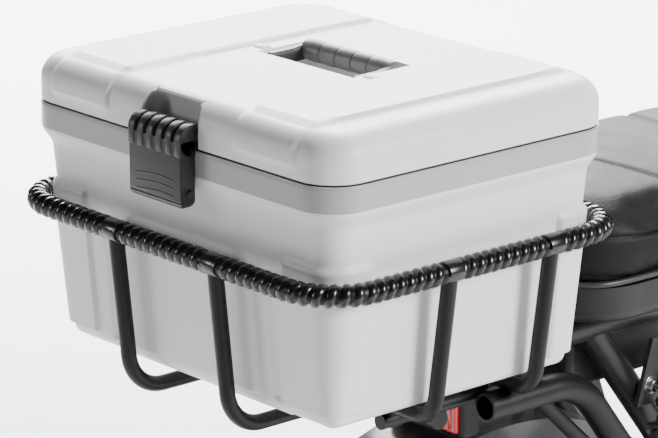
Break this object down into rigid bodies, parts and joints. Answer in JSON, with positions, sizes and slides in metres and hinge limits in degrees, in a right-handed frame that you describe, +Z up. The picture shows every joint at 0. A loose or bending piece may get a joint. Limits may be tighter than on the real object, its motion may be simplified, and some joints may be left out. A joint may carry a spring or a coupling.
{
  "type": "seated electric moped scooter",
  "caption": "Low step-through moped scooter with a padded seat, twin rear shocks and a rear rack that holds a lidded white cargo box in a cord-wrapped rod basket.",
  "frame": {"origin": "on the ground, at the middle of the length and width of the whole machine's box", "axes": "+X forward, +Y to the rider's left, +Z up"},
  "size_m": [1.4845, 0.6638, 0.9981],
  "materials": {
    "frame_paint": "satin black powder coat",
    "rack_paint": "semi-gloss black powder coat",
    "graphite_plate": "dark graphite paint",
    "steel": "plain machined steel",
    "disc_steel": "ground brake disc with machining marks",
    "alloy": "satin aluminium",
    "casting_black": "satin black painted casting",
    "chrome": "polished chrome",
    "spring": "gloss black spring wire",
    "tyre": "black rubber with a road tread",
    "rubber": "matt black rubber",
    "black_plastic": "moulded black plastic with a fine grain",
    "latch_plastic": "charcoal moulded plastic",
    "grey_grip": "grey soft-touch plastic",
    "box_white": "white moulded plastic, lightly grained",
    "wrap": "glossy black wound cord",
    "seat_cover": "black grained vinyl",
    "lens_clear": "clear ribbed lens",
    "lens_red": "red lamp lens",
    "screen": "dark display housing",
    "red_button": "red button"
  },
  "bodies": {
    "chassis": {"frame_neck": "frame_paint", "frame_deck": "frame_paint", "frame_seat_tower": "frame_paint", "side_plates": "graphite_plate", "hinge_pins": "steel", "foot_board": "rubber", "battery_case": "black_plastic", "controller_box": "black_plastic", "carrier_rack": "rack_paint", "tail_lamp_housing": "black_plastic", "tail_lamp_lens": "lens_red", "rear_mudguard": "black_plastic", "basket_frame": "rack_paint", "ring_wrap": "wrap", "box_body": "box_white", "box_seal": "rubber", "headset_bearings": "steel"},
    "steering": {"fork_crown": "casting_black", "fork_stanchions": "chrome", "stem": "frame_paint", "handlebar": "casting_black", "left_grip": "rubber", "display": "screen", "headlamp_housing": "black_plastic", "headlamp_lens": "lens_clear", "brake_perches": "alloy", "switch_pod": "black_plastic", "control_leads": "rubber"},
    "fork_lower": {"fork_lowers": "casting_black", "front_axle": "steel", "front_mudguard": "black_plastic", "front_caliper": "casting_black", "front_brake_hose": "rubber"},
    "front_wheel": {"front_tyre": "tyre", "front_wheel": "casting_black", "front_bearings": "steel", "front_disc": "disc_steel"},
    "rear_arm": {"swingarm": "frame_paint", "rear_axle": "steel", "motor_stator": "steel", "rear_caliper": "casting_black", "rear_brake_hose": "rubber"},
    "rear_wheel": {"rear_tyre": "tyre", "rear_wheel": "casting_black", "motor_covers": "alloy", "rear_disc": "disc_steel"},
    "shock_body": {"shock_bodies": "graphite_plate", "shock_springs": "spring"},
    "shock_rod": {"shock_rods": "chrome"},
    "throttle": {"throttle_grip": "rubber"},
    "left_lever": {"brake_lever_left": "alloy"},
    "right_lever": {"brake_lever_right": "alloy"},
    "horn": {"horn_button": "red_button"},
    "seat": {"seat_cushion": "seat_cover", "seat_pan": "black_plastic"},
    "stand": {"centre_stand": "frame_paint"},
    "lid": {"box_lid": "box_white"},
    "latch": {"latch": "latch_plastic"},
    "handle": {"handle_bail": "latch_plastic", "handle_grip": "grey_grip"}
  },
  "joints": [
    {"name": "steering_turn", "type": "hinge", "parent": "chassis", "child": "steering", "pos_m": [0.35358, 0, 0.55849], "axis": [-0.3746, 0, 0.9272], "range_deg": [-36, 36]},
    {"name": "fork_travel", "type": "slide", "parent": "steering", "child": "fork_lower", "axis": [-0.3746, 0, 0.9272], "range_m": [0, 0.03], "stiffness_N_per_m": 9000, "springref_m": -0.02},
    {"name": "front_wheel_spin", "type": "hinge", "parent": "fork_lower", "child": "front_wheel", "pos_m": [0.53212, 0, 0.21], "axis": [0, 1, 0], "continuous": true},
    {"name": "rear_arm_travel", "type": "hinge", "parent": "chassis", "child": "rear_arm", "pos_m": [-0.17288, 0, 0.228], "axis": [0, 1, 0], "range_deg": [0, 6.5], "stiffness_Nm_per_rad": 900, "springref_deg": -11.46},
    {"name": "rear_wheel_spin", "type": "hinge", "parent": "rear_arm", "child": "rear_wheel", "pos_m": [-0.42788, 0, 0.21], "axis": [0, 1, 0], "continuous": true},
    {"name": "shock_swing", "type": "hinge", "parent": "chassis", "child": "shock_body", "pos_m": [-0.27787, 0, 0.505], "axis": [0, 1, 0], "range_deg": [-0.1, 2.03]},
    {"name": "shock_stroke", "type": "slide", "parent": "shock_body", "child": "shock_rod", "axis": [0.4884, 0, 0.8726], "range_m": [-0.0002, 0.02641], "deforming": ["shock_springs"]},
    {"name": "throttle_twist", "type": "hinge", "parent": "steering", "child": "throttle", "pos_m": [0.18356, -0.21231, 0.97809], "axis": [-0.2656, -0.9641, 0], "range_deg": [0, 60], "stiffness_Nm_per_rad": 0.3, "springref_deg": -22.92},
    {"name": "left_brake_pull", "type": "hinge", "parent": "steering", "child": "left_lever", "pos_m": [0.21876, 0.20126, 0.97809], "axis": [0, 0, 1], "range_deg": [0, 18], "stiffness_Nm_per_rad": 0.8, "springref_deg": -14.32},
    {"name": "right_brake_pull", "type": "hinge", "parent": "steering", "child": "right_lever", "pos_m": [0.21876, -0.20126, 0.97809], "axis": [0, 0, -1], "range_deg": [0, 18], "stiffness_Nm_per_rad": 0.8, "springref_deg": -14.32},
    {"name": "horn_press", "type": "slide", "parent": "steering", "child": "horn", "axis": [0.9641, 0.2656, 0], "range_m": [0, 0.002], "stiffness_N_per_m": 400, "springref_m": -0.001},
    {"name": "seat_tip", "type": "hinge", "parent": "chassis", "child": "seat", "pos_m": [-0.07587, 0, 0.566], "axis": [0, 1, 0], "range_deg": [0, 70]},
    {"name": "stand_fold", "type": "hinge", "parent": "chassis", "child": "stand", "pos_m": [-0.10387, 0, 0.122], "axis": [0, 1, 0], "range_deg": [0, 78]},
    {"name": "lid_open", "type": "hinge", "parent": "chassis", "child": "lid", "pos_m": [-0.43988, 0, 0.748], "axis": [0, 1, 0], "range_deg": [0, 105]},
    {"name": "latch_lift", "type": "hinge", "parent": "lid", "child": "latch", "pos_m": [-0.72488, 0, 0.758], "axis": [0, 1, 0], "range_deg": [0, 110]},
    {"name": "handle_raise", "type": "hinge", "parent": "lid", "child": "handle", "pos_m": [-0.58788, 0, 0.776], "axis": [0, -1, 0], "range_deg": [0, 100]}
  ],
  "couplings": [
    {"joint": "shock_swing", "follows": "rear_arm_travel", "ratio": 0.29719},
    {"joint": "shock_stroke", "follows": "rear_arm_travel", "m_per_rad": 0.23015}
  ]
}
